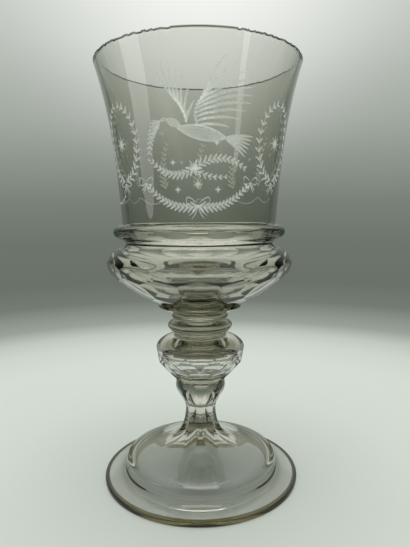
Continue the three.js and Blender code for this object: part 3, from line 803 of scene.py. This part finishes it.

# Left matt from the wheel, so it scatters light to both sides and looks white against the clear
# wall, and a faint painted glow adds to that white, so that the cuts glow though no lamp lights
# them.
# The grit's grain is drawn coarser than the real one, so that it shows.
matt_glass = new_material("wheel ground matt glass")
matt_tree = matt_glass.node_tree
matt_place = add(matt_tree, "ShaderNodeTexCoord")
grit = add(matt_tree, "ShaderNodeTexNoise", {"Scale": 1 / GRIT, "Detail": 2.0},
           {"Vector": matt_place.outputs["Object"]})
cover = add(matt_tree, "ShaderNodeMapRange",
            {"From Min": GRIT_RANGE[0], "From Max": GRIT_RANGE[1],
             "To Min": MATT_COVER[0], "To Max": MATT_COVER[1]}, {"Value": grit.outputs["Fac"]})
clear = add(matt_tree, "ShaderNodeBsdfTransparent")
front_light = add(matt_tree, "ShaderNodeBsdfDiffuse", {"Color": linear(MATT_WHITE)})
back_light = add(matt_tree, "ShaderNodeBsdfTranslucent", {"Color": linear(MATT_WHITE)})
scattered = add(matt_tree, "ShaderNodeMixShader", {0: 0.5},
                {1: front_light.outputs["BSDF"], 2: back_light.outputs["BSDF"]})
painted_glow = add(matt_tree, "ShaderNodeEmission",
            {"Color": linear(MATT_PAINTED_GLOW), "Strength": PAINTED_GLOW_STRENGTH})
white = add(matt_tree, "ShaderNodeAddShader", {},
            {0: scattered.outputs["Shader"], 1: painted_glow.outputs["Emission"]})
ground = add(matt_tree, "ShaderNodeMixShader", {},
             {0: cover.outputs["Result"], 1: clear.outputs["BSDF"], 2: white.outputs["Shader"]})
add(matt_tree, "ShaderNodeOutputMaterial", {}, {"Surface": ground.outputs["Shader"]})
engraved.materials.append(matt_glass)
engraving = bpy.data.objects.new("wheel_engraving", engraved)
bpy.context.scene.collection.objects.link(engraving)
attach(engraving, "root")

# Floor. A plain sheet of pale paper that the goblet stands on. Its tone has painted shade: a soft
# painted shadow under the foot, and painted shade that darkens it far from the goblet.
FLOOR_RADIUS = 0.9
FLOOR_DROP = 0.0001
PAPER_GLOW = 0.4
# The paper's pale tone, with a painted shadow under the foot and painted shade far from the goblet.
PAPER_TONES_AND_PAINTED_SHADE = [(0.0, "#8C938B"), (0.030, "#A4ABA3"), (0.043, "#A8AFA7"), (0.050, "#CDD4CC"),
               (0.13, "#D5DCD4"), (0.25, "#D6DDD5"), (0.318, "#D0D7CF"), (0.37, "#C4CBC3"),
               (0.44, "#9DA49C"), (0.62, "#7A8179"), (FLOOR_RADIUS, "#747B73")]


def tone_ramp(tree, tones, value):
    """Turns a value into a tone, with a stop of the ramp at each pair of value and tone. The first
    and the last pair are the ends of the ramp."""
    lowest, highest = tones[0][0], tones[-1][0]
    share = add(tree, "ShaderNodeMapRange", {"From Min": lowest, "From Max": highest},
                {"Value": value})
    ramp = add(tree, "ShaderNodeValToRGB", {}, {"Fac": share.outputs["Result"]})
    elements = ramp.color_ramp.elements
    for k, (stop, tone) in enumerate(tones):
        position = (stop - lowest) / (highest - lowest)
        element = elements[k] if k < 2 else elements.new(position)
        element.position = position
        element.color = linear(tone)
    return ramp.outputs["Color"]


floor_body = turned(np.array([FLOOR_RADIUS, 0.0]), np.array([-FLOOR_DROP, -FLOOR_DROP]))
floor_mesh = bpy.data.meshes.new("floor")
floor_body.to_mesh(floor_mesh)
floor_body.free()

# Uncoated paper, dull all over. Part of its tone is given off as light, so that it stays even.
paper = new_material("pale paper")
paper_tree = paper.node_tree
paper_place = add(paper_tree, "ShaderNodeTexCoord")
paper_reach = add(paper_tree, "ShaderNodeVectorMath", {"operation": "LENGTH"},
                  {0: paper_place.outputs["Object"]})
paper_tone_and_painted_shade = tone_ramp(paper_tree, PAPER_TONES_AND_PAINTED_SHADE, paper_reach.outputs["Value"])
dull_paper = add(paper_tree, "ShaderNodeBsdfDiffuse", {}, {"Color": paper_tone_and_painted_shade})
glowing_paper = add(paper_tree, "ShaderNodeEmission", {"Strength": 1.0}, {"Color": paper_tone_and_painted_shade})
lit_paper = add(paper_tree, "ShaderNodeMixShader", {0: PAPER_GLOW},
                {1: dull_paper.outputs["BSDF"], 2: glowing_paper.outputs["Emission"]})
add(paper_tree, "ShaderNodeOutputMaterial", {}, {"Surface": lit_paper.outputs["Shader"]})
floor_mesh.materials.append(paper)
floor = bpy.data.objects.new("floor", floor_mesh)
bpy.context.scene.collection.objects.link(floor)

# Light. A soft studio sweep, brightest behind the goblet and dark before it and at both sides, so
# that the glass shows dark edges. A lamp overhead lights the floor, and a soft lamp at each side is
# seen only as a gloss on the glass. The sweep's tones go by the sine of a ray's height.
SWEEP = [(-0.20, "#686F67"), (-0.05, "#6E756D"), (0.03, "#7A8179"), (0.11, "#8F968E"),
         (0.186, "#A3AAA2"), (0.257, "#AFB6AE"), (0.324, "#BBC2BA"), (0.6, "#D8DDD6"),
         (1.0, "#F0F2EE")]
GLOW = "#FAFBF7"
GLOW_HEIGHT = math.radians(30)
GLOW_REACH = math.radians(29)
GLOW_POWER = 2.6
SHADE = "#1C1D1A"
SHADE_HEIGHT = math.radians(48)
SHADE_REACH = math.radians(34)
SHADE_POWER = 0.4
SIDE_SHADE = "#2A2C27"
SIDE_REACH = math.radians(62)
SIDE_POWER = 1.3
LAMP_AIM = Vector((0, 0, 0.1))
OVERHEAD_PLACE = (0, 0, 1.1)
OVERHEAD_SIZE = 0.8
OVERHEAD_POWER = 7.1
SIDE_LAMPS = (("left lamp", (-0.47, -0.18, 0.20), 0.22, 1.5),
              ("right lamp", (0.291, -0.268, 0.170), 0.05, 1.6))
world = bpy.data.worlds.new("soft studio sweep")
bpy.context.scene.world = world
world.use_nodes = True
world_tree = world.node_tree
world_tree.nodes.clear()
ray = add(world_tree, "ShaderNodeTexCoord").outputs["Generated"]


def patch(aim, reach, power, tone, under):
    """Lays a round patch of a tone over the sweep: its weight falls from 1 where a ray points along
    aim to 0 at the angle reach from it, as a power of the cosine's fall."""
    toward = add(world_tree, "ShaderNodeVectorMath", {"operation": "DOT_PRODUCT", 1: aim}, {0: ray})
    near = add(world_tree, "ShaderNodeMapRange", {"From Min": math.cos(reach), "From Max": 1.0},
               {"Value": toward.outputs["Value"]})
    weight = add(world_tree, "ShaderNodeMath", {"operation": "POWER", 1: power},
                 {0: near.outputs["Result"]})
    return add(world_tree, "ShaderNodeMixRGB", {"Color2": linear(tone)},
               {"Fac": weight.outputs["Value"], "Color1": under}).outputs["Color"]


def lamp(name, place, size, power, seen):
    """A square area lamp that points at the goblet, seen in the glass only where seen is true."""
    light = bpy.data.lights.new(name, "AREA")
    light.size = size
    light.energy = power
    made = bpy.data.objects.new(name, light)
    bpy.context.scene.collection.objects.link(made)
    turn = (LAMP_AIM - Vector(place)).to_track_quat("-Z", "Y")
    made.matrix_world = Matrix.Translation(place) @ turn.to_matrix().to_4x4()
    made.visible_camera = False
    made.visible_glossy = seen
    return made


ray_parts = add(world_tree, "ShaderNodeSeparateXYZ", {}, {"Vector": ray})
sweep = tone_ramp(world_tree, SWEEP, ray_parts.outputs["Z"])
sweep = patch((0, math.cos(GLOW_HEIGHT), math.sin(GLOW_HEIGHT)),
              GLOW_REACH, GLOW_POWER, GLOW, sweep)
sweep = patch((0, -math.cos(SHADE_HEIGHT), math.sin(SHADE_HEIGHT)),
              SHADE_REACH, SHADE_POWER, SHADE, sweep)
for hand in (-1, 1):
    sweep = patch((hand, 0, 0), SIDE_REACH, SIDE_POWER, SIDE_SHADE, sweep)
sky = add(world_tree, "ShaderNodeBackground", {"Strength": 1.0}, {"Color": sweep})
add(world_tree, "ShaderNodeOutputWorld", {}, {"Surface": sky.outputs["Background"]})
lamp("overhead lamp", OVERHEAD_PLACE, OVERHEAD_SIZE, OVERHEAD_POWER, False)

# A side lamp's power goes with its area, so that the glare is how bright its gloss looks.
for name, place, size, glare in SIDE_LAMPS:
    soft = lamp(name, place, size, math.pi * glare * size**2, True)
    soft.data.shape = "DISK"
    soft.visible_diffuse = False
    soft.visible_transmission = False

# Camera. It stands at the photograph's viewing angle, before the goblet and about as high as the
# foot of its cup, tipped down a little. A ray may pass through as many of the welds' unseen faces
# as UNSEEN_LAYERS says.
PICTURE_HEIGHT = 547
FOCAL_PIXELS = 485.93
SENSOR = 36.0
CAMERA_PLACE = (0.003142, -0.284507, 0.154481)
CAMERA_PITCH = math.radians(6.579)
CAMERA_ROLL = math.radians(-0.359)
UNSEEN_LAYERS = 32
eye = bpy.data.cameras.new("camera")
eye.sensor_width = SENSOR
eye.lens = FOCAL_PIXELS * SENSOR / PICTURE_HEIGHT
camera = bpy.data.objects.new("camera", eye)
bpy.context.scene.collection.objects.link(camera)
tipped = Matrix.Rotation(math.pi / 2 - CAMERA_PITCH, 4, "X")
rolled = Matrix.Rotation(CAMERA_ROLL, 4, "Z")
camera.matrix_world = Matrix.Translation(CAMERA_PLACE) @ tipped @ rolled
bpy.context.scene.camera = camera
bpy.context.scene.view_settings.view_transform = "Standard"
bpy.context.scene.cycles.transparent_max_bounces = UNSEEN_LAYERS
